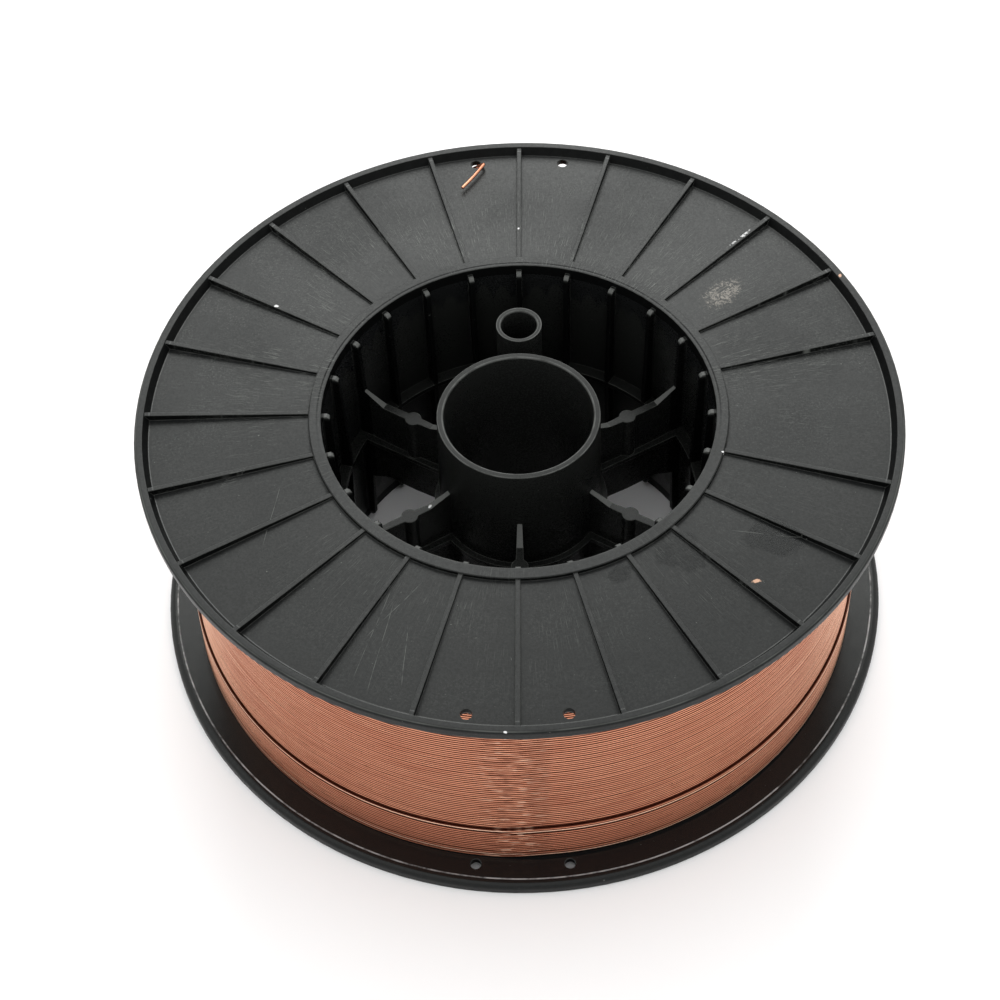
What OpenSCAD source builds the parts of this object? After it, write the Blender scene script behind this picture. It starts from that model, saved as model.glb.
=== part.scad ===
// Wire spool lying on one flange: a one-piece moulded plastic spool with a full
// winding of copper-coated steel welding wire.
// The axis is Z and the origin is on the axis at the face that the spool lies on.

/* [Spool] */
// Outside diameter of both flanges
flange_d = 270; // [255:1:300]
// Overall width over the two rims
spool_w = 103; // [95:1:120]
// Outside diameter of the barrel that carries the wire
barrel_d = 146.6; // [146.2:0.2:160]
// Thickness of the barrel wall at its ends
barrel_wall = 3.8; // [3:0.2:4]
// How much the barrel wall thickens from its ends to the middle
barrel_draft = 0.6; // [0:0.1:1]

/* [Rim] */
// Thickness of the flange at the rim
rim_t = 5; // [4.6:0.1:6.5]
// Width of the flat lip on the rim, rounding included
lip_w = 2.9; // [2.5:0.1:6]
// How far the inner wall of the lip leans in at its foot
lip_draft = 1.8; // [0:0.1:2]
// Rounding of the rim's edge on the open side
rim_round_outer = 1; // [0.5:0.1:2]
// Rounding of the rim's edge on the wire side
rim_round_inner = 2.2; // [0.5:0.1:2.5]

/* [Flange face] */
// Thickness of the flange at the barrel
flange_root_t = 5.8; // [5:0.1:8]
// Depth of the flange face below the lip at the rim
face_depth_rim = 2.9; // [2:0.1:3.2]
// Depth of the flange face below the ring at the barrel
face_depth_ring = 1.4; // [1:0.1:3]
// Width of the raised ring round the recess
ring_w = 4.4; // [4:0.1:8]
// Number of places for ribs on a flange; the first place stays empty
rib_places = 24; // [12:1:30]
// Width of a flange rib
rib_w = 1.6; // [1:0.1:3]
// How far the tops of the ribs lie below the lip
rib_drop = 0.4; // [0.2:0.1:0.8]

/* [Wire holes] */
// Diameter of a hole that holds the end of the wire
wire_hole_d = 4; // [2:0.1:5]
// Distance of the wire holes from the outside edge of the flange
wire_hole_edge = 8.2; // [8:0.1:12]
// Angle of a wire hole from the rib beside it
wire_hole_angle = 7.5; // [4:0.5:8]

/* [Hub] */
// Diameter of the bore
bore_d = 53; // [50.5:0.1:54]
// Thickness of the hub wall at its mouths
hub_wall = 2.4; // [2:0.1:3.5]
// How much the hub wall thickens from its mouths to the middle
hub_draft = 0.6; // [0:0.1:1.5]
// How far each mouth of the hub lies below the rim
hub_drop = 2.8; // [1:0.1:6]
// Lead-in chamfer at each mouth of the bore
mouth_chamfer = 0.5; // [0.3:0.1:1.5]

/* [Driver hole] */
// Distance of the driver hole from the axis
driver_r = 44.5; // [43:0.5:47]
// Diameter of the driver hole
driver_bore_d = 13; // [10.5:0.5:13]
// Outside diameter of the driver tube
driver_tube_d = 16.6; // [16:0.2:19]
// How far each mouth of the driver tube lies below the rim
driver_drop = 4.8; // [3:0.1:8]
// Lead-in chamfer at each mouth of the driver hole
driver_chamfer = 0.5; // [0.2:0.1:0.8]

/* [Spokes] */
// Number of spokes between hub and barrel
spoke_count = 6; // [6:6:12]
// Thickness of a spoke at its ends
spoke_t = 2.4; // [1.5:0.1:4]
// How much a spoke thickens from its ends to its pad
spoke_draft = 0.6; // [0:0.1:1]
// Height of a spoke along the axis
spoke_h = 40.5; // [30:0.5:50]
// Height of the gusset where a spoke meets the hub
hub_gusset_h = 3.2; // [1:0.1:8]
// Length of the gusset where a spoke meets the hub
hub_gusset_l = 8.5; // [4:0.5:10]
// Thickness of the gusset where it meets the hub
hub_gusset_t = 1.7; // [1:0.1:4]
// Height of the gusset where a spoke meets the barrel
wall_gusset_h = 4.9; // [1:0.1:8]
// Length of the gusset where a spoke meets the barrel
wall_gusset_l = 9; // [4:0.5:10]
// Thickness of the gusset where it meets the barrel
wall_gusset_t = 1.2; // [1:0.1:4]
// Diameter of the round pad on the upper half of a spoke
pad_d = 6; // [4:0.5:8]
// Distance of the round pad from the axis
pad_r = 45.3; // [43:0.1:48]

/* [Barrel ribs] */
// Number of ribs on the inside of the barrel
wall_rib_count = 24; // [12:12:36]
// Width of a rib on the inside of the barrel
wall_rib_w = 1.8; // [1:0.1:3]
// Height of such a rib at its ends
wall_rib_end_h = 3; // [2:0.1:4]
// Height of such a rib at the middle of the barrel
wall_rib_mid_h = 4.8; // [4:0.1:6]
// How far these ribs end below the rim
wall_rib_drop = 2.2; // [1:0.1:8]

/* [Middle web] */
// Thickness of the web at the middle of the recess
web_t = 2; // [1:0.1:4]
// Width of the web along the barrel wall
web_shelf_w = 4.2; // [2:0.1:6]
// Width of the web round the hub
web_collar_w = 2.2; // [1:0.1:4]
// Width of the web along each side of a spoke
web_ledge_w = 2.4; // [1:0.1:4]

/* [Wire] */
// Diameter of the wire
wire_d = 1.2; // [0.8:0.1:1.6]
// Outside diameter of the winding over its last layer
winding_d = 247; // [180:1:248]
// Length of the last layer, which ends part of the way up
last_layer_l = 17; // [5:1:80]
// Room between the winding and the plastic
winding_gap = 0.2; // [0.1:0.05:0.5]
// How far the bent end of the wire reaches along the flange
tail_reach = 15; // [8:1:20]
// Gap between the bent end of the wire and the flange face
tail_gap = 1.6; // [0.8:0.1:1.7]
// Direction of the bent end, measured from the way back to the axis
tail_turn = 37; // [0:1:45]
// Direction in which the wire leans in its hole, measured from the way along the rim
lean_turn = 39; // [0:1:60]
// Room between the leaning wire and the edge of its hole
hole_gap = 0.15; // [0.1:0.05:0.3]
// Angle about the axis over which the wire runs from the winding to its hole
lead_angle = 8; // [5:1:20]
// Radius of the wire's bends at their middle
bend_r = 1.4; // [1:0.1:1.8]

/* [Hidden] */
$fn = 96;
plastic = "#26282a";
copper = "#d9916f";
mid_z = spool_w / 2;
flange_r = flange_d / 2;
barrel_r = barrel_d / 2;
ring_r = barrel_r - barrel_wall + ring_w;
recess_r = barrel_r - barrel_wall;
waist_r = recess_r - barrel_draft;
bore_r = bore_d / 2;
hub_r = bore_r + hub_wall;
hub_waist_r = hub_r + hub_draft;
lip_r = flange_r - lip_w;
lip_foot_r = lip_r - lip_draft;
wire_hole_r = flange_r - wire_hole_edge;
wire_hole_angles = [90 - wire_hole_angle, 90 + wire_hole_angle, 270 - wire_hole_angle, 270 + wire_hole_angle];
driver_angle = 90;
sunk = 1; // how deep a rib's foot is set into the wall that carries it
cut = 1; // how far a cut runs past the face that it opens
winding_r = winding_d / 2;
arc_steps = 6;
bend_steps = 5;
wire_sides = 8;
layer_t = wire_d * sin(60); // what one layer of turns adds to the radius

// Points of an arc about a centre, from one angle to the other
function arc(centre, radius, from, to) =
    [for (i = [0 : arc_steps]) let (a = from + (to - from) * i / arc_steps)
        centre + radius * [cos(a), sin(a)]];

// Point at a distance from the axis and an angle about it
function around(r, angle) = [r * cos(angle), r * sin(angle), 0];

// Height above the middle of the flange's wire side, where the winding ends
function wire_side(r) =
    mid_z - rim_t - (flange_root_t - rim_t) * (flange_r - r) / (flange_r - barrel_r);

// Copies what is modelled above the middle to the side below it as well
module both_sides() {
    translate([0, 0, mid_z]) children();
    translate([0, 0, mid_z]) mirror([0, 0, 1]) children();
}

// Turns a flat outline, drawn with its distance from the axis and its height, into a radial plate
module radial_plate(angle, thickness) {
    rotate([0, 0, angle]) rotate([90, 0, 0])
        translate([0, 0, -thickness / 2]) linear_extrude(thickness) children();
}

// Height of the open face of a flange above the middle
function open_face(r) =
    mid_z - face_depth_rim
    + (face_depth_rim - face_depth_ring) * (lip_foot_r - r) / (lip_foot_r - ring_r);

// One half of the turned body: barrel wall, ring, flange face and rim
module half_shell() {
    rotate_extrude() polygon(concat(
        [[waist_r, 0], [recess_r, mid_z], [ring_r, mid_z], [ring_r, mid_z - face_depth_ring]],
        [[lip_foot_r, mid_z - face_depth_rim], [lip_r, mid_z]],
        arc([flange_r - rim_round_outer, mid_z - rim_round_outer], rim_round_outer, 90, 0),
        arc([flange_r - rim_round_inner, mid_z - rim_t + rim_round_inner], rim_round_inner, 0, -90),
        [[barrel_r, wire_side(barrel_r)], [barrel_r, 0]]));
}

// Ribs on the open face of a flange, from the ring to the lip
module flange_ribs() {
    for (i = [1 : rib_places - 1])
        radial_plate(i * 360 / rib_places, rib_w)
            translate([ring_r - sunk, mid_z - face_depth_rim - sunk])
                square([lip_foot_r - ring_r + lip_draft + 2 * sunk, face_depth_rim + sunk - rib_drop]);
}

// Ribs up the inside of the barrel, higher towards the middle
module barrel_ribs() {
    rib_end_z = mid_z - wall_rib_drop;
    for (i = [0 : wall_rib_count - 1])
        radial_plate(i * 360 / wall_rib_count, wall_rib_w)
            polygon([
                [waist_r - wall_rib_mid_h + barrel_draft, 0],
                [recess_r - wall_rib_end_h, rib_end_z - sunk],
                [recess_r - wall_rib_end_h + sunk, rib_end_z],
                [recess_r + sunk, rib_end_z],
                [waist_r + sunk, 0]]);
}

// Hub tube without its bore
module hub_half() {
    rotate_extrude() polygon([
        [0, 0], [hub_waist_r, 0], [hub_r, mid_z - hub_drop - mouth_chamfer / 2],
        [hub_r - mouth_chamfer / 2, mid_z - hub_drop], [0, mid_z - hub_drop]]);
}

// Outline of one spoke above the middle, with a gusset at each end
module spoke_outline() {
    top = spoke_h / 2;
    polygon([
        [bore_r + hub_wall / 2, 0],
        [bore_r + hub_wall / 2, top + hub_gusset_h],
        [hub_r, top + hub_gusset_h],
        [hub_r + hub_gusset_l, top],
        [recess_r - wall_rib_end_h - wall_gusset_l, top],
        [recess_r - wall_rib_end_h, top + wall_gusset_h],
        [recess_r + sunk, top + wall_gusset_h],
        [waist_r + sunk, 0]]);
}

// One side of a spoke seen from above, thickest at the pad and thin at both gussets
function spoke_side(side) = [
    [bore_r + hub_wall / 2, side * hub_gusset_t / 2],
    [hub_r, side * hub_gusset_t / 2],
    [hub_r + hub_gusset_l, side * spoke_t / 2],
    [pad_r, side * (spoke_t + spoke_draft) / 2],
    [recess_r - wall_rib_end_h - wall_gusset_l, side * spoke_t / 2],
    [recess_r - wall_rib_end_h, side * wall_gusset_t / 2],
    [recess_r + sunk, side * wall_gusset_t / 2]];

// Spokes on one side of the middle
module spokes_half() {
    far = spoke_side(-1);
    for (i = [0 : spoke_count - 1])
        intersection() {
            radial_plate(driver_angle + i * 360 / spoke_count, spoke_t + spoke_draft + 2 * cut) spoke_outline();
            rotate([0, 0, driver_angle + i * 360 / spoke_count])
                translate([0, 0, -cut]) linear_extrude(spoke_h + 2 * cut)
                    polygon(concat(spoke_side(1), [for (k = [len(far) - 1 : -1 : 0]) far[k]]));
        }
}

// Round pads on the upper half of the spokes, not on the one with the driver tube
module spoke_pads() {
    for (i = [1 : spoke_count - 1])
        rotate([0, 0, driver_angle + i * 360 / spoke_count])
            translate([pad_r, 0, mid_z]) cylinder(d = pad_d, h = spoke_h / 2);
}

// Driver tube without its hole
module driver_half() {
    rotate([0, 0, driver_angle]) translate([driver_r, 0, 0])
        cylinder(d = driver_tube_d, h = mid_z - driver_drop);
}

// Flat web at the middle of the recess, open between the spokes
module middle_web() {
    translate([0, 0, mid_z - web_t / 2]) linear_extrude(web_t) difference() {
        circle(r = waist_r + sunk);
        difference() {
            circle(r = waist_r - web_shelf_w);
            circle(r = hub_waist_r + web_collar_w);
            for (i = [0 : spoke_count - 1])
                rotate(driver_angle + i * 360 / spoke_count)
                    translate([0, -spoke_t / 2 - web_ledge_w])
                        square([recess_r, spoke_t + 2 * web_ledge_w]);
            rotate(driver_angle) translate([driver_r, 0]) circle(d = driver_tube_d + 2 * web_ledge_w);
        }
    }
}

// Straight bore with a chamfer at each mouth
module mouthed_bore(bore, drop, chamfer) {
    cylinder(d = bore, h = spool_w);
    both_sides()
        translate([0, 0, mid_z - drop - chamfer])
            cylinder(d1 = bore, d2 = bore + 4 * chamfer, h = 2 * chamfer);
}

// The whole moulded spool
module spool() {
    color(plastic) difference() {
        union() {
            both_sides() {
                half_shell();
                flange_ribs();
                barrel_ribs();
                hub_half();
                spokes_half();
                driver_half();
            }
            spoke_pads();
            middle_web();
        }
        mouthed_bore(bore_d, hub_drop, mouth_chamfer);
        rotate([0, 0, driver_angle]) translate([driver_r, 0, 0])
            mouthed_bore(driver_bore_d, driver_drop, driver_chamfer);
        for (angle = wire_hole_angles)
            rotate([0, 0, angle]) translate([wire_hole_r, 0, -cut])
                cylinder(d = wire_hole_d, h = spool_w + 2 * cut);
    }
}

// Points of a round bend at a corner, from one direction into another
function bend(corner, from, to) =
    let (turn = acos(from * to), across = to - (to * from) * from, side = across / norm(across),
        start = corner - bend_r * tan(turn / 2) * from)
    [for (i = [0 : bend_steps]) let (a = turn * i / bend_steps)
        start + bend_r * (sin(a) * from + (1 - cos(a)) * side)];

// Direction of a route at one of its points
function heading(points, i) =
    let (way = points[min(i + 1, len(points) - 1)] - points[max(i - 1, 0)]) way / norm(way);

// One direction square to the route at each point, carried on without twist
function normals(points, before, i = 0) =
    let (t = heading(points, i), n = before - (before * t) * t, n1 = n / norm(n))
    i == len(points) - 1 ? [n1] : concat([n1], normals(points, n1, i + 1));

// Round wire swept along a route
module swept_wire(points, first_normal) {
    n = normals(points, first_normal);
    rings = [for (i = [0 : len(points) - 1], k = [0 : wire_sides - 1])
        let (a = 360 * k / wire_sides)
        points[i] + wire_d / 2 * (n[i] * cos(a) + cross(heading(points, i), n[i]) * sin(a))];
    last = (len(points) - 1) * wire_sides;
    polyhedron(rings, concat(
        [[for (k = [0 : wire_sides - 1]) k]],
        [for (i = [0 : len(points) - 2], k = [0 : wire_sides - 1])
            let (next = (k + 1) % wire_sides, near = i * wire_sides, far = near + wire_sides)
            [near + k, far + k, far + next, near + next]],
        [[for (k = [wire_sides - 1 : -1 : 0]) last + k]]));
}

// Free end of the wire: out of the winding, leaning up through a wire hole and bent back over the flange
module wire_tail() {
    hole = wire_hole_angles[1];
    lead_r = winding_r - layer_t - wire_d;
    under = wire_side(wire_hole_r);
    half_t = (open_face(wire_hole_r) - under) / 2;
    room = wire_hole_d / 2 - hole_gap;
    lean = acos(wire_d / 2 / norm([room, half_t])) - atan2(half_t, room);
    up = [0, 0, 1];
    over = around(-1, hole - tail_turn);
    rise = cos(lean) * up + sin(lean) * around(1, hole - 90 - lean_turn);
    centre = around(wire_hole_r, hole) + (mid_z + under + half_t) * up;
    foot_z = mid_z + wire_side(lead_r) - winding_gap - wire_d;
    top_z = spool_w - face_depth_rim + tail_gap + wire_d / 2;
    foot = centre + (foot_z - centre.z) / rise.z * rise;
    top = centre + (top_z - centre.z) / rise.z * rise;
    start = around(lead_r, hole + lead_angle) + foot_z * up;
    out = (foot - start) / norm(foot - start);
    swept_wire(concat([start], bend(foot, out, rise), bend(top, rise, over), [top + tail_reach * over]), up);
}

// The wire: its winding as one turned solid, and its free end
module welding_wire() {
    inner = barrel_r + winding_gap;
    base = winding_gap - wire_side(winding_r);
    step = base + last_layer_l;
    color(copper) union() {
        translate([0, 0, mid_z]) rotate_extrude() polygon([
            [inner, winding_gap - wire_side(inner)], [winding_r, base],
            [winding_r, step], [winding_r - layer_t, step],
            [winding_r - layer_t, wire_side(winding_r - layer_t) - winding_gap],
            [inner, wire_side(inner) - winding_gap]]);
        wire_tail();
    }
}

spool();
welding_wire();
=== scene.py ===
import math

import bpy
import numpy as np
from mathutils import Matrix, Vector


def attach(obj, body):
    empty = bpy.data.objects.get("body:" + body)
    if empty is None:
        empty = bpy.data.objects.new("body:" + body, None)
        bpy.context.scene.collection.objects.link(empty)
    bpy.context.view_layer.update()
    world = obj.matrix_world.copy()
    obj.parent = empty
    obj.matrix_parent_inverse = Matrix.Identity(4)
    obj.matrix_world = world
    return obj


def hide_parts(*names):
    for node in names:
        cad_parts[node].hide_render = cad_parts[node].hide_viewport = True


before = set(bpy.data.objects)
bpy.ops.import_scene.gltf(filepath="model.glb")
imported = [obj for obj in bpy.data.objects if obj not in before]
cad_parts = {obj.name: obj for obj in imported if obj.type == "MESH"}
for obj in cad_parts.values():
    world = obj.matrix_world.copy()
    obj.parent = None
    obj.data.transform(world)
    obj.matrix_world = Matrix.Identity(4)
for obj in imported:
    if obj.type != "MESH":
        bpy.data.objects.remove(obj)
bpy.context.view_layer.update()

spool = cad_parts["spool"]
mm = 0.001


def clearSelection():
    for item in list(bpy.context.selected_objects):
        item.select_set(False)


def activate(item):
    clearSelection()
    item.select_set(True)
    bpy.context.view_layer.objects.active = item


def startMesh(name):  # an empty mesh object, open in edit mode
    clearSelection()
    bpy.ops.object.add(type="MESH", location=(0, 0, 0))
    item = bpy.context.object
    item.name = name
    item.data.name = name
    return item


def applyAll(item):
    activate(item)
    for modifier in list(item.modifiers):
        bpy.ops.object.modifier_apply(modifier=modifier.name)


def coordinates(item):
    values = np.empty(len(item.data.vertices) * 3)
    item.data.vertices.foreach_get("co", values)
    return values.reshape(-1, 3)


def setCoordinates(item, values):
    item.data.vertices.foreach_set("co", np.asarray(values, np.float32).ravel())
    item.data.update()


# camera

view = {
    "place": (14.09, -564.51, 766.61),  # mm
    "pitch": 51.683,  # degrees below level
    "yaw": -2.214,
    "roll": -2.333,
    "lens": 89.31,  # mm on a 36 mm sensor
}


def makeCamera(values):
    pitch, yaw, roll = (math.radians(values[key]) for key in ("pitch", "yaw", "roll"))
    forward = Vector((math.sin(yaw) * math.cos(pitch), math.cos(yaw) * math.cos(pitch), -math.sin(pitch)))
    level = Vector((math.cos(yaw), -math.sin(yaw), 0))
    rise = level.cross(forward)
    right = level * math.cos(roll) + rise * math.sin(roll)
    up = rise * math.cos(roll) - level * math.sin(roll)
    clearSelection()
    bpy.ops.object.camera_add()
    camera = bpy.context.object
    camera.name = "photoCamera"
    camera.matrix_world = Matrix((
        (right.x, up.x, -forward.x, values["place"][0] * mm),
        (right.y, up.y, -forward.y, values["place"][1] * mm),
        (right.z, up.z, -forward.z, values["place"][2] * mm),
        (0, 0, 0, 1)))
    camera.data.sensor_fit = "HORIZONTAL"
    camera.data.sensor_width = 36
    camera.data.lens = values["lens"]
    camera.data.clip_start = 0.01
    camera.data.clip_end = 50
    camera.data.dof.use_dof = False
    bpy.context.scene.camera = camera
    return camera


print("camera")
makeCamera(view)


# node helpers

def makeNode(tree, kind, inputs=None, **settings):
    node = tree.nodes.new(kind)
    for key, value in settings.items():
        setattr(node, key, value)
    for key, value in (inputs or {}).items():
        if isinstance(value, bpy.types.NodeSocket):
            tree.links.new(value, node.inputs[key])
        else:
            node.inputs[key].default_value = value
    return node


def calc(tree, operation, *values, clamp=False):
    return makeNode(tree, "ShaderNodeMath", dict(enumerate(values)), operation=operation, use_clamp=clamp).outputs[0]


def ramp(tree, value, low, high, start=0.0, end=1.0):  # value from low to high becomes start to end, smoothly
    return makeNode(tree, "ShaderNodeMapRange", {
        "Value": value, "From Min": low, "From Max": high, "To Min": start, "To Max": end},
        interpolation_type="SMOOTHSTEP").outputs[0]


def blendColour(tree, share, first, second):
    node = makeNode(tree, "ShaderNodeMix", data_type="RGBA")
    sockets = {"Factor": node.inputs[0], "A": node.inputs[6], "B": node.inputs[7]}
    for key, value in (("Factor", share), ("A", first), ("B", second)):
        if isinstance(value, bpy.types.NodeSocket):
            tree.links.new(value, sockets[key])
        elif key == "Factor":
            sockets[key].default_value = value
        else:
            sockets[key].default_value = (*value, 1)
    return node.outputs[2]


def noise(tree, vector, scale, detail=2.0, roughness=0.5, distortion=0.0):
    return makeNode(tree, "ShaderNodeTexNoise", {
        "Vector": vector, "Scale": scale, "Detail": detail, "Roughness": roughness,
        "Distortion": distortion}).outputs[0]


def newMaterial(name):
    material = bpy.data.materials.new(name)
    material.use_nodes = True
    tree = material.node_tree
    shader = tree.nodes["Principled BSDF"]
    place = makeNode(tree, "ShaderNodeTexCoord").outputs["Object"]
    return material, tree, shader, place


def roundPlace(tree, place):  # distance from the axis, angle about it in radians, and height
    parts = makeNode(tree, "ShaderNodeSeparateXYZ", {0: place}).outputs
    flat = makeNode(tree, "ShaderNodeCombineXYZ", {0: parts[0], 1: parts[1], 2: 0.0}).outputs[0]
    distance = makeNode(tree, "ShaderNodeVectorMath", {0: flat}, operation="LENGTH").outputs["Value"]
    angle = calc(tree, "ARCTAN2", parts[1], parts[0])
    return distance, angle, parts[2]


def vectorOf(tree, x, y, z):
    return makeNode(tree, "ShaderNodeCombineXYZ", {0: x, 1: y, 2: z}).outputs[0]


# stage

studio = {
    "floorColour": (0.95, 0.95, 0.95),
    "floorSize": 7.0,  # m
    "fill": 1.3,  # light from all round
    "lamps": (
        {"name": "backLamp", "place": (0.0, 2.15, 1.75), "size": 1.5, "power": 32.0},
    ),
}


def makeStage(values):
    scene = bpy.context.scene
    scene.view_settings.view_transform = "Standard"
    world = bpy.data.worlds.new("studio")
    scene.world = world
    world.use_nodes = True
    tree = world.node_tree
    tree.nodes.clear()
    path = makeNode(tree, "ShaderNodeLightPath")
    seen = calc(tree, "MAXIMUM", path.outputs["Is Camera Ray"], path.outputs["Is Glossy Ray"])
    seen = calc(tree, "MAXIMUM", seen, path.outputs["Is Transmission Ray"])
    light = makeNode(tree, "ShaderNodeBackground", {"Color": (1, 1, 1, 1), "Strength": values["fill"]})
    white = makeNode(tree, "ShaderNodeBackground", {"Color": (1, 1, 1, 1), "Strength": 1.0})
    mixed = makeNode(tree, "ShaderNodeMixShader", {0: seen, 1: light.outputs[0], 2: white.outputs[0]})
    makeNode(tree, "ShaderNodeOutputWorld", {"Surface": mixed.outputs[0]})
    clearSelection()
    bpy.ops.mesh.primitive_plane_add(size=values["floorSize"], location=(0, 0, 0))
    floor = bpy.context.object
    floor.name = "floor"
    material, tree, shader, place = newMaterial("paleFloor")
    shader.inputs["Base Color"].default_value = (*values["floorColour"], 1)
    shader.inputs["Roughness"].default_value = 0.7
    shader.inputs["Specular IOR Level"].default_value = 0.2
    floor.data.materials.append(material)
    for lamp in values["lamps"]:
        bpy.ops.object.light_add(type="AREA", location=lamp["place"])
        item = bpy.context.object
        item.name = lamp["name"]
        item.data.shape = "SQUARE"
        item.data.size = lamp["size"]
        item.data.energy = lamp["power"]
        item.rotation_euler = (-Vector(lamp["place"])).to_track_quat("-Z", "Y").to_euler()


print("stage")
makeStage(studio)


# moulded spool

plastic = {
    "colour": (0.0065, 0.007, 0.0072),
    # painted light: the recess gets a lighter colour than the faces
    "recessPaintedLightColour": (0.0105, 0.0112, 0.0105),
    "wallShadeColour": (0.0025, 0.0027, 0.0027),  # painted shade on the upright walls of the ribs and the rim
    "recessHighlightColour": (0.085, 0.088, 0.084),  # painted highlight on the rib tops, also on the mouths and slopes in the recess
    # colour of wear marks, also used for painted highlights on edges and the lip line
    "wearAndHighlightColour": (0.18, 0.19, 0.175),
    "tanColour": (0.18, 0.165, 0.142),  # dried scuff
    "copperColour": (0.55, 0.33, 0.22),  # rubbed off the wire
    "specular": 0.295,
    "faceRoughness": 0.4,
    "recessRoughness": 0.3,
    "innerRoughness": 0.17,  # between the flanges
    "edgeRound": 0.45,  # mm
    "ringRound": 0.7,  # on the inside edge of the ring
    "edgeWearAndHighlight": 0.24,  # how much the edges brighten: real wear, and a painted highlight along them
    "grain": 0.3,  # mm
    "streaks": 1.0,  # rubbed radial marks on the faces
    "specks": 0.5,
    "ringLine": (73.7, 0.32, 0.8),  # distance from the axis, half width in mm, depth of the tone
    # painted highlight: more shine in a line at the foot of the lip wall
    "wallFootHighlight": (130.15, 0.3),
    # painted highlight: a bright line along the rounded lip of the rims
    "lipHighlight": (134.35, 0.3, 0.3),
    "recessShine": 0.5,  # share of the shine of the faces
    "sideShine": 0.62,
    # painted shade: share of shine left on the upright walls
    "wallShine": 0.22,
    "tint": (0.97, 1.0, 0.965),
    "lowerHighlight": (131.8, 0.36, 0.4),  # painted highlight: a bright line along the wire side of the rims
    "scratches": (  # from and to, each as distance and degrees
        ((84.0, 240.5), (124.0, 244.5)), ((91.0, 243.0), (127.0, 247.5)), ((80.0, 246.5), (108.0, 242.5)),
        ((97.0, 248.0), (121.0, 252.0)), ((88.0, 201.0), (104.0, 214.0)), ((92.0, 66.0), (118.0, 70.5)),
        ((86.0, 322.0), (112.0, 330.0)), ((100.0, 128.0), (122.0, 125.0)), ((107.0, 80.0), (115.0, 79.6)),
    ),
    "marks": (  # distance, degrees, length and width in mm, turn from the radius, kind
        (93.0, 37.0, 15.0, 8.5, 8.0, "tan"),
        (116.3, 45.3, 9.0, 1.7, 0.0, "smear"),
        (82.5, 311.0, 20.0, 15.0, 10.0, "stain"),
        (103.0, 327.0, 22.0, 15.0, 20.0, "stain"),
        (78.5, 296.0, 8.0, 9.0, 0.0, "stain"),
        (102.0, 150.0, 1.6, 1.0, 20.0, "white"),
        (133.0, 28.0, 1.4, 0.9, 70.0, "copper"),
        (108.6, 317.0, 3.0, 1.3, 55.0, "copper"),
        (73.5, 344.0, 0.9, 0.7, 0.0, "white"),
        (134.4, 268.4, 1.1, 0.7, 90.0, "white"),
        (88.9, 90.1, 0.9, 0.7, 0.0, "white"),
        (37.0, 210.0, 1.6, 0.9, 30.0, "white"),
        (110.0, 12.0, 10.0, 4.0, 0.0, "rubbed"),
        (103.0, 196.0, 9.0, 3.0, 25.0, "rubbed"),
    ),
}


def polar(distance, degrees):
    turn = math.radians(degrees)
    return distance * mm * math.cos(turn), distance * mm * math.sin(turn)


def spot(tree, place, values, ragged):  # 1 inside a stretched spot and 0 outside it
    distance, degrees, length, width, turn, kind = values
    x, y = polar(distance, degrees)
    local = makeNode(tree, "ShaderNodeMapping", {
        "Vector": place, "Location": (x, y, 0.1), "Rotation": (0, 0, math.radians(degrees + turn)),
        "Scale": (length / 2 * mm, width / 2 * mm, 0.04)}, vector_type="TEXTURE").outputs[0]
    far = makeNode(tree, "ShaderNodeVectorMath", {0: local}, operation="LENGTH").outputs["Value"]
    return ramp(tree, calc(tree, "ADD", far, ragged), 1.3, 0.7)


def scratchLine(tree, place, start, end, width):  # 1 on a straight scratch and 0 beside it
    first, last = Vector(polar(*start)), Vector(polar(*end))
    middle, way = (first + last) / 2, last - first
    local = makeNode(tree, "ShaderNodeMapping", {
        "Vector": place, "Location": (middle.x, middle.y, 0.1), "Rotation": (0, 0, math.atan2(way.y, way.x)),
        "Scale": (way.length / 2, width / 2 * mm, 0.04)}, vector_type="TEXTURE").outputs[0]
    parts = makeNode(tree, "ShaderNodeSeparateXYZ", {0: local}).outputs
    across = calc(tree, "ABSOLUTE", calc(tree, "ADD", parts[1], calc(tree, "MULTIPLY", calc(tree, "SINE", calc(tree, "MULTIPLY", parts[0], 2.3)), 1.6)))
    along = calc(tree, "ABSOLUTE", parts[0])
    inside = calc(tree, "MULTIPLY", ramp(tree, across, 1.2, 0.5), ramp(tree, along, 1.0, 0.75))
    return calc(tree, "MULTIPLY", inside, calc(tree, "LESS_THAN", calc(tree, "ABSOLUTE", parts[2]), 1.0))


def strongest(tree, values):
    result = values[0]
    for value in values[1:]:
        result = calc(tree, "MAXIMUM", result, value)
    return result


def band(tree, value, centre, half):  # 1 at the centre, fading to 0 over half on either side
    return ramp(tree, calc(tree, "ABSOLUTE", calc(tree, "SUBTRACT", value, centre)), half, half * 0.4)


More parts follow.
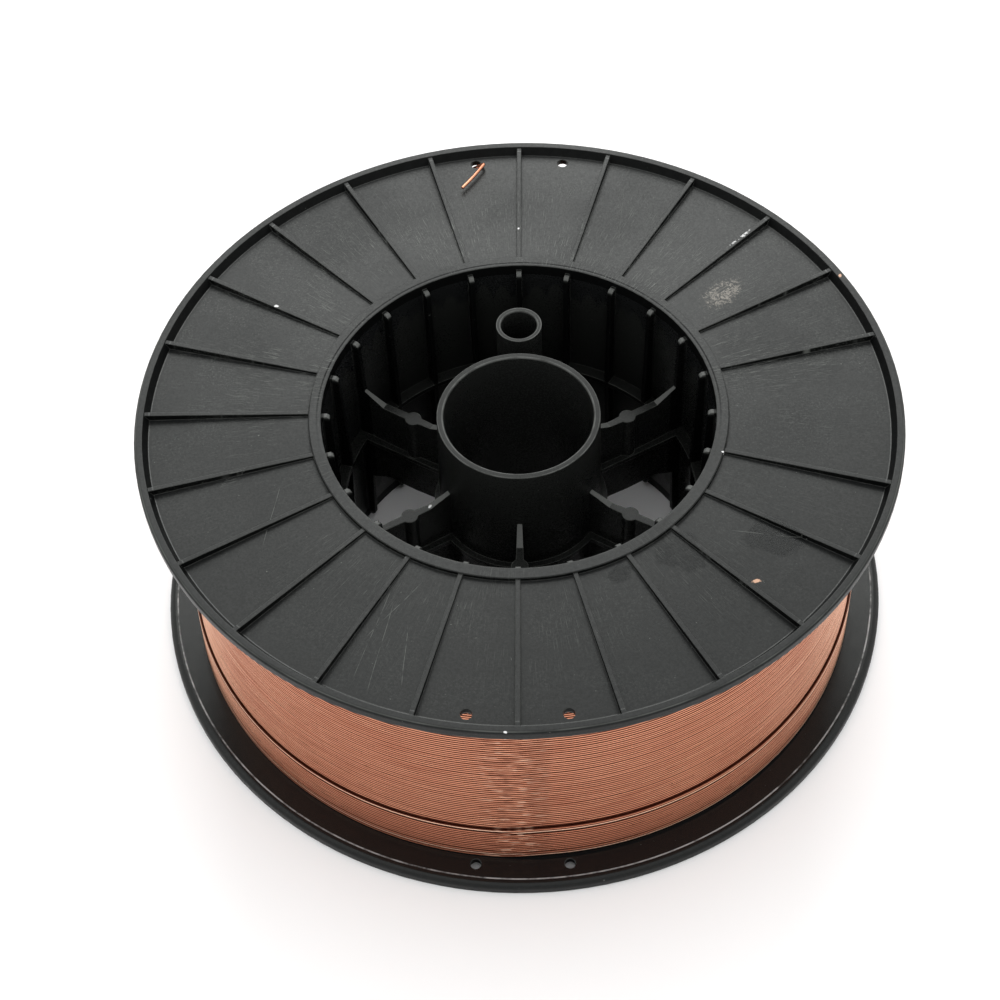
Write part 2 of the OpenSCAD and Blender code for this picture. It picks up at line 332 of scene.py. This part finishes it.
def makePlastic(values):
    material, tree, shader, place = newMaterial("blackPlastic")
    distance, angle, height = roundPlace(tree, place)
    placeX, placeY = makeNode(tree, "ShaderNodeSeparateXYZ", {0: place}).outputs[:2]
    fromMiddle = calc(tree, "ABSOLUTE", calc(tree, "SUBTRACT", height, 51.5 * mm))
    outside = calc(tree, "GREATER_THAN", fromMiddle, 47.0 * mm)
    onFace = calc(tree, "MULTIPLY", outside, calc(tree, "GREATER_THAN", distance, 69.0 * mm))
    between = calc(tree, "MULTIPLY", calc(tree, "SUBTRACT", 1.0, outside), calc(tree, "GREATER_THAN", distance, 73.0 * mm))
    streakPlace = vectorOf(tree, calc(tree, "MULTIPLY", distance, 135.0), calc(tree, "MULTIPLY", angle, 440.0), height)
    streaks = ramp(tree, noise(tree, streakPlace, 1.0, 3.0, 0.65), 0.56, 0.7)
    patches = ramp(tree, noise(tree, place, 45.0, 3.0), 0.38, 0.6)
    patches = calc(tree, "MULTIPLY", patches, ramp(tree, distance, 88.0 * mm, 124.0 * mm, 1.0, 0.25))
    toBack = ramp(tree, calc(tree, "SINE", angle), -0.4, 0.5, 0.3, 1.0)
    onPanel = calc(tree, "MULTIPLY", onFace, calc(tree, "MULTIPLY", calc(tree, "LESS_THAN", distance, 129.0 * mm), calc(tree, "GREATER_THAN", distance, 70.0 * mm)))
    fine = ramp(tree, noise(tree, place, 1300.0, 3.0, 0.8), 0.5, 0.68, 0.0, 0.55)
    fine = calc(tree, "MULTIPLY", fine, ramp(tree, noise(tree, place, 55.0, 3.0), 0.4, 0.62, 0.12, 1.0))
    streaks = calc(tree, "MULTIPLY", calc(tree, "MAXIMUM", calc(tree, "MULTIPLY", streaks, patches), calc(tree, "MULTIPLY", fine, 0.5)), calc(tree, "MULTIPLY", onPanel, toBack))
    rubPlace = vectorOf(tree, calc(tree, "MULTIPLY", distance, 160.0), calc(tree, "MULTIPLY", angle, 420.0), height)
    rubs = ramp(tree, noise(tree, rubPlace, 1.0, 3.0, 0.65), 0.5, 0.66)
    ragged = ramp(tree, noise(tree, place, 900.0, 3.0, 0.6), 0.3, 0.7, -0.35, 0.35)
    found = {"rubbed": [], "white": [], "copper": [], "tan": [], "smear": [], "stain": []}
    soft = ramp(tree, noise(tree, place, 130.0, 2.0), 0.3, 0.7, -0.25, 0.25)
    for mark in values["marks"]:
        found[mark[5]].append(spot(tree, place, mark, soft if mark[5] == "stain" else ragged))
    rubbed = calc(tree, "MULTIPLY", strongest(tree, found["rubbed"]), rubs)
    scribble = calc(tree, "ABSOLUTE", calc(tree, "SUBTRACT", noise(tree, place, 330.0, 2.0, 0.6, 1.5), 0.5))
    scribble = calc(tree, "MAXIMUM", ramp(tree, scribble, 0.06, 0.015), rubs)
    tan = calc(tree, "MULTIPLY", strongest(tree, found["tan"]), scribble)
    smear = calc(tree, "MULTIPLY", strongest(tree, found["smear"]), ramp(tree, noise(tree, place, 650.0, 2.0), 0.45, 0.54, 0.0, 0.85))
    white, coppery = strongest(tree, [*found["white"], smear]), strongest(tree, found["copper"])
    scratches = strongest(tree, [scratchLine(tree, place, start, end, 0.3) for start, end in values["scratches"]])
    scratches = calc(tree, "MULTIPLY", scratches, ramp(tree, noise(tree, place, 260.0, 2.0), 0.35, 0.6))
    specks = ramp(tree, noise(tree, place, 620.0, 2.0, 0.7), 0.735, 0.775)
    specks = calc(tree, "MULTIPLY", specks, values["specks"])
    rounded = makeNode(tree, "ShaderNodeBevel", {"Radius": values["edgeRound"] * mm}, samples=6).outputs[0]
    ringEdge = calc(tree, "MULTIPLY", band(tree, distance, 69.4 * mm, 1.1 * mm), calc(tree, "GREATER_THAN", fromMiddle, 50.0 * mm))
    radius = makeNode(tree, "ShaderNodeMapRange", {
        "Value": ringEdge, "From Min": 0.0, "From Max": 0.2, "To Min": values["edgeRound"] * mm, "To Max": values["ringRound"] * mm}).outputs[0]
    tree.links.new(radius, rounded.node.inputs["Radius"])
    true = makeNode(tree, "ShaderNodeNewGeometry").outputs["True Normal"]
    level = calc(tree, "ABSOLUTE", makeNode(tree, "ShaderNodeSeparateXYZ", {0: true}).outputs[2])
    # painted shade: upright walls of the faces get a darker colour and less shine
    uprightShade = calc(tree, "MULTIPLY", ramp(tree, level, 0.75, 0.45), calc(tree, "MULTIPLY", onFace, calc(tree, "LESS_THAN", distance, 133.0 * mm)))
    square = makeNode(tree, "ShaderNodeVectorMath", {0: rounded, 1: true}, operation="DOT_PRODUCT").outputs["Value"]
    edge = ramp(tree, square, 0.97, 0.85)
    rising = calc(tree, "ABSOLUTE", makeNode(tree, "ShaderNodeSeparateXYZ", {0: rounded}).outputs[2])
    deep = calc(tree, "MULTIPLY", calc(tree, "LESS_THAN", distance, 69.3 * mm), ramp(tree, rising, 0.45, 0.2))
    edge = calc(tree, "MULTIPLY", edge, calc(tree, "SUBTRACT", 1.0, deep))
    # painted highlight: edges near the hub and driver mouths brighten more
    onTop = calc(tree, "LESS_THAN", distance, 66.0 * mm)
    edge = calc(tree, "MULTIPLY", edge, calc(tree, "ADD", 1.0, calc(tree, "MULTIPLY", onTop, 1.6)))
    edge = calc(tree, "MULTIPLY", edge, ramp(tree, noise(tree, place, 300.0, 3.0), 0.3, 0.6, 0.35, 1.0))
    # painted highlight along the rounded lip of the rims
    lipHighlight = calc(tree, "MULTIPLY", band(tree, distance, values["lipHighlight"][0] * mm, values["lipHighlight"][1] * mm), calc(tree, "GREATER_THAN", fromMiddle, 50.5 * mm))
    lipHighlight = calc(tree, "MULTIPLY", lipHighlight, ramp(tree, noise(tree, place, 60.0, 3.0), 0.35, 0.6, 0.1, values["lipHighlight"][2]))
    # lighter marks: real wear (streaks, rubs, scratches, specks, white marks) and painted highlights (lip line, edges)
    light = calc(tree, "MULTIPLY", streaks, values["streaks"])
    light = strongest(tree, [light, calc(tree, "MULTIPLY", rubbed, 0.5), white, calc(tree, "MULTIPLY", scratches, 0.35), specks, lipHighlight,
                             calc(tree, "MULTIPLY", edge, values["edgeWearAndHighlight"])])
    inRecess = calc(tree, "MULTIPLY", calc(tree, "LESS_THAN", distance, 69.3 * mm), calc(tree, "LESS_THAN", fromMiddle, 51.0 * mm))
    # painted light: lighter colour inside the recess
    base = blendColour(tree, inRecess, values["colour"], values["recessPaintedLightColour"])
    base = blendColour(tree, uprightShade, base, values["wallShadeColour"])
    onRib = calc(tree, "MULTIPLY", calc(tree, "LESS_THAN", distance, 68.6 * mm), calc(tree, "GREATER_THAN", distance, 63.6 * mm))
    # painted shade: the lower sides of the barrel ribs get the dark wall colour and less shine
    ribWallShade = calc(tree, "MULTIPLY", calc(tree, "MULTIPLY", onRib, ramp(tree, fromMiddle, 48.4 * mm, 46.8 * mm)), ramp(tree, level, 0.6, 0.3))
    # painted highlight on the tips of the barrel ribs
    ribTop = calc(tree, "MULTIPLY", onRib, ramp(tree, fromMiddle, 48.2 * mm, 48.8 * mm))
    base = blendColour(tree, ribWallShade, base, values["wallShadeColour"])
    base = blendColour(tree, ribTop, base, values["recessHighlightColour"])
    # painted highlight on the sloped gussets in the recess
    slope = calc(tree, "MULTIPLY", ramp(tree, level, 0.81, 0.86), ramp(tree, level, 0.97, 0.945))
    slope = calc(tree, "MULTIPLY", slope, calc(tree, "LESS_THAN", fromMiddle, 46.0 * mm))
    fromDriver = makeNode(tree, "ShaderNodeVectorMath", {0: vectorOf(tree, placeX, placeY, 0.0), 1: (0, 44.5 * mm, 0)}, operation="DISTANCE").outputs["Value"]
    # painted highlight along the rims of the hub and driver mouths
    mouth = strongest(tree, [band(tree, distance, 26.9 * mm, 0.4 * mm), band(tree, distance, 28.8 * mm, 0.35 * mm),
                             band(tree, fromDriver, 6.9 * mm, 0.35 * mm), band(tree, fromDriver, 8.2 * mm, 0.3 * mm)])
    mouth = calc(tree, "MULTIPLY", calc(tree, "MULTIPLY", mouth, ramp(tree, level, 0.2, 0.5)), calc(tree, "GREATER_THAN", fromMiddle, 46.0 * mm))
    mouth = calc(tree, "MULTIPLY", mouth, ramp(tree, noise(tree, place, 160.0, 3.0), 0.35, 0.6, 0.4, 1.0))
    # painted highlight: mouths and slopes take the highlight colour
    lit = calc(tree, "MULTIPLY", calc(tree, "MAXIMUM", mouth, slope), calc(tree, "LESS_THAN", distance, 69.0 * mm))
    base = blendColour(tree, lit, base, values["recessHighlightColour"])
    colour = blendColour(tree, light, base, values["wearAndHighlightColour"])
    colour = blendColour(tree, tan, colour, values["tanColour"])
    colour = blendColour(tree, white, colour, (0.7, 0.7, 0.7))
    colour = blendColour(tree, coppery, colour, values["copperColour"])
    tree.links.new(colour, shader.inputs["Base Color"])
    ringLine = calc(tree, "MULTIPLY", band(tree, distance, values["ringLine"][0] * mm, values["ringLine"][1] * mm), outside)
    toFront = ramp(tree, calc(tree, "SINE", angle), 0.35, -0.05)
    ringLine = calc(tree, "MULTIPLY", calc(tree, "MULTIPLY", ringLine, toFront), values["ringLine"][2])
    shine = calc(tree, "MULTIPLY", values["specular"], calc(tree, "SUBTRACT", 1.0, ringLine))
    # painted highlight: more shine at the foot of the lip wall
    wallFootHighlight = calc(tree, "MULTIPLY", band(tree, distance, values["wallFootHighlight"][0] * mm, values["wallFootHighlight"][1] * mm), outside)
    shine = calc(tree, "ADD", shine, calc(tree, "MULTIPLY", wallFootHighlight, 0.35))
    shine = calc(tree, "MULTIPLY", shine, ramp(tree, noise(tree, place, 1100.0, 4.0, 0.75), 0.3, 0.7, 0.84, 1.16))
    # painted highlight along the wire side of the rims
    lowerHighlight = calc(tree, "MULTIPLY", band(tree, distance, values["lowerHighlight"][0] * mm, values["lowerHighlight"][1] * mm), between)
    lowerHighlight = calc(tree, "MULTIPLY", lowerHighlight, ramp(tree, noise(tree, place, 110.0, 4.0, 0.7), 0.36, 0.6, 0.1, 1.0))
    colour = blendColour(tree, calc(tree, "MULTIPLY", lowerHighlight, 0.8), colour, (values["lowerHighlight"][2],) * 3)
    tree.links.new(colour, shader.inputs["Base Color"])
    shine = calc(tree, "MULTIPLY", shine, ramp(tree, inRecess, 0.0, 1.0, 1.0, values["recessShine"]))
    shine = calc(tree, "MULTIPLY", shine, ramp(tree, distance, 133.9 * mm, 134.5 * mm, 1.0, values["sideShine"]))
    shine = calc(tree, "MULTIPLY", shine, ramp(tree, uprightShade, 0.0, 1.0, 1.0, values["wallShine"]))
    shine = calc(tree, "MULTIPLY", shine, ramp(tree, ribWallShade, 0.0, 1.0, 1.0, 0.3))
    innerLine = calc(tree, "MULTIPLY", band(tree, distance, 70.9 * mm, 0.36 * mm), calc(tree, "GREATER_THAN", fromMiddle, 51.0 * mm))
    innerLine = calc(tree, "MULTIPLY", innerLine, ramp(tree, calc(tree, "SINE", angle), -0.3, 0.3, 0.05, 0.85))
    shine = calc(tree, "MULTIPLY", shine, calc(tree, "SUBTRACT", 1.0, innerLine))
    # painted light: the faces shine more towards the front left
    towards = calc(tree, "COSINE", calc(tree, "SUBTRACT", angle, math.radians(-145)))
    shine = calc(tree, "MULTIPLY", shine, ramp(tree, towards, 0.4, 1.0, 1.0, 1.13))
    shader.inputs["Specular Tint"].default_value = (*values["tint"], 1)
    stain = calc(tree, "MULTIPLY", strongest(tree, found["stain"]), onPanel)
    shine = calc(tree, "MULTIPLY", shine, ramp(tree, stain, 0.0, 1.0, 1.0, 0.68))
    tree.links.new(shine, shader.inputs["Specular IOR Level"])
    rough = makeNode(tree, "ShaderNodeMix", {0: onFace, 2: values["recessRoughness"], 3: values["faceRoughness"]}).outputs[0]
    rough = makeNode(tree, "ShaderNodeMix", {0: between, 2: rough, 3: values["innerRoughness"]}).outputs[0]
    rough = calc(tree, "ADD", rough, ramp(tree, noise(tree, place, 22.0, 3.0), 0.35, 0.7, -0.04, 0.05))
    rough = calc(tree, "ADD", rough, calc(tree, "MULTIPLY", light, 0.4))
    rough = calc(tree, "ADD", rough, ramp(tree, noise(tree, place, 1500.0, 3.0, 0.7), 0.3, 0.7, -0.05, 0.05))
    rough = calc(tree, "SUBTRACT", rough, calc(tree, "MULTIPLY", stain, 0.14), clamp=True)
    tree.links.new(rough, shader.inputs["Roughness"])
    grain = noise(tree, place, 1.0 / (values["grain"] * mm), 3.0, 0.6)
    lowered = calc(tree, "SUBTRACT", grain, calc(tree, "MULTIPLY", scratches, 1.5))
    bump = makeNode(tree, "ShaderNodeBump", {"Strength": 0.35, "Distance": 0.0001, "Height": lowered, "Normal": rounded})
    tree.links.new(bump.outputs[0], shader.inputs["Normal"])
    return material


print("spool")
spoolMaterial = makePlastic(plastic)
for place in spool.material_slots:
    place.material = spoolMaterial


# wire

copper = {
    "colour": (0.79, 0.345, 0.21),
    "pale": (0.84, 0.475, 0.315),  # painted sheen, paler towards both sides
    # browner tone at random, also painted shade on the front of the last layer
    "brownTintAndShade": (0.56, 0.2, 0.115),
    "gap": (0.05, 0.012, 0.007),  # painted shade between the turns
    # painted highlight on turns that catch the light and glints in the crossing band
    "bright": (1.0, 0.68, 0.5),
    "dark": (0.09, 0.03, 0.018),  # painted shade in the slits between stepping turns of the crossing band; also the darker stripe
    "stripe": (272.8, 2.4, 0.2),  # degrees, half width and depth of its darkest part
    "roughness": 0.3,
    "pitch": 1.21,
    "brightLines": (22.6, 7.6),  # heights of turns that catch the light, mm
    "crossing": (269.0, 7.0),  # degrees, half width
    "edge": 123.2,  # mm, beyond it lies the last layer
}


def makeCopper(values):
    material, tree, shader, place = newMaterial("copperCoatedWire")
    distance, angle, height = roundPlace(tree, place)
    perTurn = calc(tree, "MULTIPLY", height, 1.0 / (values["pitch"] * mm))
    east, north = calc(tree, "COSINE", angle), calc(tree, "SINE", angle)  # no seam behind the winding
    along = vectorOf(tree, calc(tree, "MULTIPLY", east, 6.0), calc(tree, "MULTIPLY", north, 6.0), perTurn)
    tint = noise(tree, along, 1.0, 3.0)
    broad = noise(tree, place, 30.0, 2.0)
    share = calc(tree, "MULTIPLY", ramp(tree, tint, 0.3, 0.75), ramp(tree, broad, 0.3, 0.7, 0.35, 0.9))
    lines = strongest(tree, [band(tree, height, line * mm, 0.75 * mm) for line in values["brightLines"]])
    turned = calc(tree, "SUBTRACT", angle, math.radians(values["crossing"][0] - 360))
    ahead = calc(tree, "COSINE", turned)
    # painted sheen: paler copper towards both sides
    sideSheen = calc(tree, "MULTIPLY", ramp(tree, ahead, 0.87, 0.26), ramp(tree, ahead, -0.87, -0.5))
    colour = blendColour(tree, sideSheen, values["colour"], values["pale"])
    lastLayer = calc(tree, "GREATER_THAN", distance, 122.75 * mm)
    # painted shade: the last layer darkens towards the front
    lower = calc(tree, "MULTIPLY", calc(tree, "MULTIPLY", lastLayer, ramp(tree, ahead, 0.72, 0.97)), 0.6)
    colour = blendColour(tree, strongest(tree, [share, lower]), colour, values["brownTintAndShade"])
    outward = makeNode(tree, "ShaderNodeAttribute", attribute_name="outward").outputs["Fac"]
    # painted shade where the wire skin faces into the gaps between turns
    depth = ramp(tree, outward, 0.92, 0.74)
    colour = blendColour(tree, calc(tree, "MULTIPLY", depth, 0.96), colour, values["gap"])
    # painted highlight on the last layer's turns that catch the light
    shown = calc(tree, "MULTIPLY", calc(tree, "MULTIPLY", lines, lastLayer), calc(tree, "SUBTRACT", 1.0, depth))
    colour = blendColour(tree, calc(tree, "MULTIPLY", shown, 0.8), colour, values["bright"])
    crossing = band(tree, turned, 0.0, math.radians(values["crossing"][1]))
    slit = noise(tree, vectorOf(tree, calc(tree, "MULTIPLY", angle, 17.0), calc(tree, "MULTIPLY", perTurn, 0.9), 3.0), 1.0, 2.0)
    # painted shade in the slits between stepping turns
    slits = calc(tree, "MULTIPLY", crossing, ramp(tree, slit, 0.48, 0.66))
    stripe = band(tree, turned, math.radians(values["stripe"][0] - values["crossing"][0]), math.radians(values["stripe"][1]))
    slits = calc(tree, "MAXIMUM", calc(tree, "MULTIPLY", slits, 0.5), calc(tree, "MULTIPLY", stripe, values["stripe"][2]))
    # painted glint in the crossing band
    glint = calc(tree, "MULTIPLY", crossing, ramp(tree, slit, 0.45, 0.32, 0.0, 0.3))
    colour = blendColour(tree, glint, colour, values["bright"])
    colour = blendColour(tree, slits, colour, values["dark"])
    tree.links.new(colour, shader.inputs["Base Color"])
    shader.inputs["Metallic"].default_value = 1.0
    rough = calc(tree, "ADD", values["roughness"], ramp(tree, tint, 0.3, 0.7, -0.05, 0.1))
    tree.links.new(rough, shader.inputs["Roughness"])
    drawn = noise(tree, vectorOf(tree, calc(tree, "MULTIPLY", east, 30.0), calc(tree, "MULTIPLY", north, 30.0), calc(tree, "MULTIPLY", height, 9000.0)), 1.0, 2.0)
    bump = makeNode(tree, "ShaderNodeBump", {"Strength": 0.2, "Distance": 0.00003, "Height": drawn})
    tree.links.new(bump.outputs[0], shader.inputs["Normal"])
    return material


copperMaterial = makeCopper(copper)

turns = {
    "wire": 1.2,  # mm, diameter
    "pitch": 1.21,
    "steps": 216,  # faces round one turn
    "crossing": 269.5,  # degrees, middle of the zone where a turn steps over to the next
    "crossingWidth": 8.0,
    "upper": {"name": "windingTurns", "radius": 121.86, "start": 20.4, "turns": 64},
    "last": {"name": "lastLayerTurns", "radius": 122.9, "start": 6.0, "turns": 14},
    "gaps": ((2, 0.34), (12, 0.6)),  # after so many turns of the last layer, mm
    "unevenUp": 0.03,
    "unevenOut": 0.02,
}


def markOutward(item, values):  # how far each point of a wire's skin faces away from the winding
    layer = item.data.attributes.new("outward", "FLOAT", "POINT")
    layer.data.foreach_set("value", np.asarray(values, np.float32))


def smoothRise(value):
    value = np.clip(value, 0, 1)
    return value * value * (3 - 2 * value)


def slowNoise(generator, count, spread, smooth):  # a wandering value for each step of the wire
    values = generator.normal(0, 1, count // smooth + 3)
    places = np.arange(count) / smooth
    return spread * np.interp(places, np.arange(len(values)), values)


def makeTurns(layer, values, seed):
    generator = np.random.default_rng(seed)
    radius = values["wire"] / 2
    item = startMesh(layer["name"])
    bpy.ops.object.mode_set(mode="EDIT")
    bpy.ops.mesh.primitive_circle_add(vertices=7, radius=radius * mm, fill_type="NOTHING",
                                      location=(layer["radius"] * mm, 0, 0), rotation=(math.pi / 2, 0, 0))
    bpy.ops.object.mode_set(mode="OBJECT")
    count = len(item.data.vertices)
    corners = np.radians((-100, -60, -20, 20, 60, 100, 180))  # close together on the side that shows
    setCoordinates(item, np.stack((layer["radius"] + radius * np.cos(corners), 0 * corners, radius * np.sin(corners)), 1) * mm)
    screw = item.modifiers.new("turns", "SCREW")
    screw.axis = "Z"
    screw.angle = 2 * math.pi
    screw.screw_offset = 0
    screw.iterations = layer["turns"]
    screw.steps = values["steps"]
    screw.render_steps = values["steps"]
    screw.use_merge_vertices = False
    applyAll(item)
    points = coordinates(item)
    step = np.arange(len(points)) // count
    turn = step / values["steps"]
    fromCrossing = turn - values["crossing"] / 360
    whole = np.floor(fromCrossing + 0.5)
    rise = smoothRise((fromCrossing - whole) * 360 / values["crossingWidth"] + 0.5)
    passed = whole + rise
    height = layer["start"] + values["pitch"] * passed
    if layer is values["last"]:
        for after, gap in values["gaps"]:
            height = height + gap * smoothRise((passed - after) * 3)
    total = int(step.max()) + 1
    up = slowNoise(generator, total, values["unevenUp"], 40)[step]
    out = slowNoise(generator, total, values["unevenOut"], 25)[step]
    hump = 0.12 * np.sin(np.pi * np.clip((fromCrossing - whole) * 360 / (values["crossingWidth"] * 1.4) + 0.5, 0, 1))
    angle = 2 * math.pi * turn
    around = np.hypot(points[:, 0], points[:, 1]) + (out + hump) * mm
    points[:, 0] = around * np.cos(angle)
    points[:, 1] = around * np.sin(angle)
    points[:, 2] += (height + up) * mm
    setCoordinates(item, points)
    markOutward(item, np.cos(corners)[np.arange(len(points)) % count])
    activate(item)
    bpy.ops.object.mode_set(mode="EDIT")
    bpy.ops.mesh.select_mode(type="EDGE")
    bpy.ops.mesh.select_all(action="DESELECT")
    bpy.ops.mesh.select_non_manifold()
    bpy.ops.mesh.fill()
    bpy.ops.mesh.select_all(action="SELECT")
    bpy.ops.mesh.normals_make_consistent(inside=False)
    bpy.ops.object.mode_set(mode="OBJECT")
    bpy.ops.object.shade_smooth()
    item.data.materials.append(copperMaterial)
    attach(item, "root")
    print(item.name, len(item.data.polygons), "faces")
    return item


print("turns")
upperTurns = makeTurns(turns["upper"], turns, 3)
lastTurns = makeTurns(turns["last"], turns, 8)


core = {
    "inner": 73.5,  # mm
    "outer": 121.4,
    "bottomInner": 6.0,  # heights of the ends against the flanges
    "bottomOuter": 5.45,
    "steps": 128,
    "layer": 1.04,
}


def makeCore(values):
    item = startMesh("windingCore")
    rings = int((values["outer"] - values["inner"]) / values["layer"])
    side = []
    for index in range(rings):  # one half-round ring for each layer of turns
        for part in range(3):
            share = (index + part / 3) / rings
            distance = values["inner"] + (values["outer"] - values["inner"]) * share
            drop = 0.3 if part == 0 else 0.0
            side.append((distance, values["bottomInner"] + (values["bottomOuter"] - values["bottomInner"]) * share + drop))
    side.append((values["outer"], values["bottomOuter"] + 0.3))
    outline = side + [(distance, 103 - height) for distance, height in reversed(side)]
    mesh = item.data
    mesh.from_pydata([(x * mm, 0, z * mm) for x, z in outline], [(i, (i + 1) % len(outline)) for i in range(len(outline))], [])
    activate(item)
    bpy.ops.object.mode_set(mode="EDIT")
    bpy.ops.mesh.select_all(action="SELECT")
    bpy.ops.mesh.spin(steps=values["steps"], angle=2 * math.pi, center=(0, 0, 0), axis=(0, 0, 1))
    bpy.ops.mesh.select_all(action="SELECT")
    bpy.ops.mesh.remove_doubles(threshold=0.000002)
    bpy.ops.mesh.normals_make_consistent(inside=False)
    bpy.ops.object.mode_set(mode="OBJECT")
    bpy.ops.object.shade_smooth_by_angle(angle=math.radians(50))
    # 0.87 gives the core a light share of the painted shade between the turns
    markOutward(item, np.full(len(item.data.vertices), 0.87))
    item.data.materials.append(copperMaterial)
    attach(item, "root")
    print(item.name, len(item.data.polygons), "faces")
    return item


windingCore = makeCore(core)
for piece in (windingCore, upperTurns, lastTurns):
    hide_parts("welding_wire")


tail = {
    "wire": 1.2,
    "start": (-32.41, 116.85, 96.42),  # mm, in the winding
    "foot": (-18.57, 126.96, 96.42),  # under the flange
    "top": (-13.1, 124.0, 102.3),  # above the hole
    "tip": (-21.5, 110.95, 102.3),
    "bends": (1.0, 1.35),  # how far before and after a corner the bend runs
}


def makeTail(values):
    start, foot, top, tip = (Vector(values[key]) for key in ("start", "foot", "top", "tip"))
    route = [start]
    for corner, before, after, bend in ((foot, start, top, values["bends"][0]), (top, foot, tip, values["bends"][1])):
        first = corner - (corner - before).normalized() * bend
        last = corner + (after - corner).normalized() * bend
        for index in range(7):
            share = index / 6
            route.append(first.lerp(corner, share).lerp(corner.lerp(last, share), share))
    side = Vector((0.35, 0.1, 0))
    for index in range(1, 6):
        share = index / 6
        route.append(route[14].lerp(tip, share) + side * math.sin(math.pi * share))
    route.append(tip)
    clearSelection()
    curve = bpy.data.curves.new("wireTail", "CURVE")
    curve.dimensions = "3D"
    curve.bevel_depth = values["wire"] / 2 * mm
    curve.bevel_resolution = 2
    curve.use_fill_caps = True
    line = curve.splines.new("POLY")
    line.points.add(len(route) - 1)
    for point, place in zip(line.points, route):
        point.co = (*(place * mm), 1)
    item = bpy.data.objects.new("wireTail", curve)
    bpy.context.scene.collection.objects.link(item)
    activate(item)
    bpy.ops.object.convert(target="MESH")
    item = bpy.context.object
    bpy.ops.object.shade_smooth_by_angle(angle=math.radians(50))
    markOutward(item, np.ones(len(item.data.vertices)))
    item.data.materials.append(copperMaterial)
    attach(item, "root")
    print(item.name, len(item.data.polygons), "faces")
    return item


print("tail")
wireTail = makeTail(tail)
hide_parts("welding_wire")
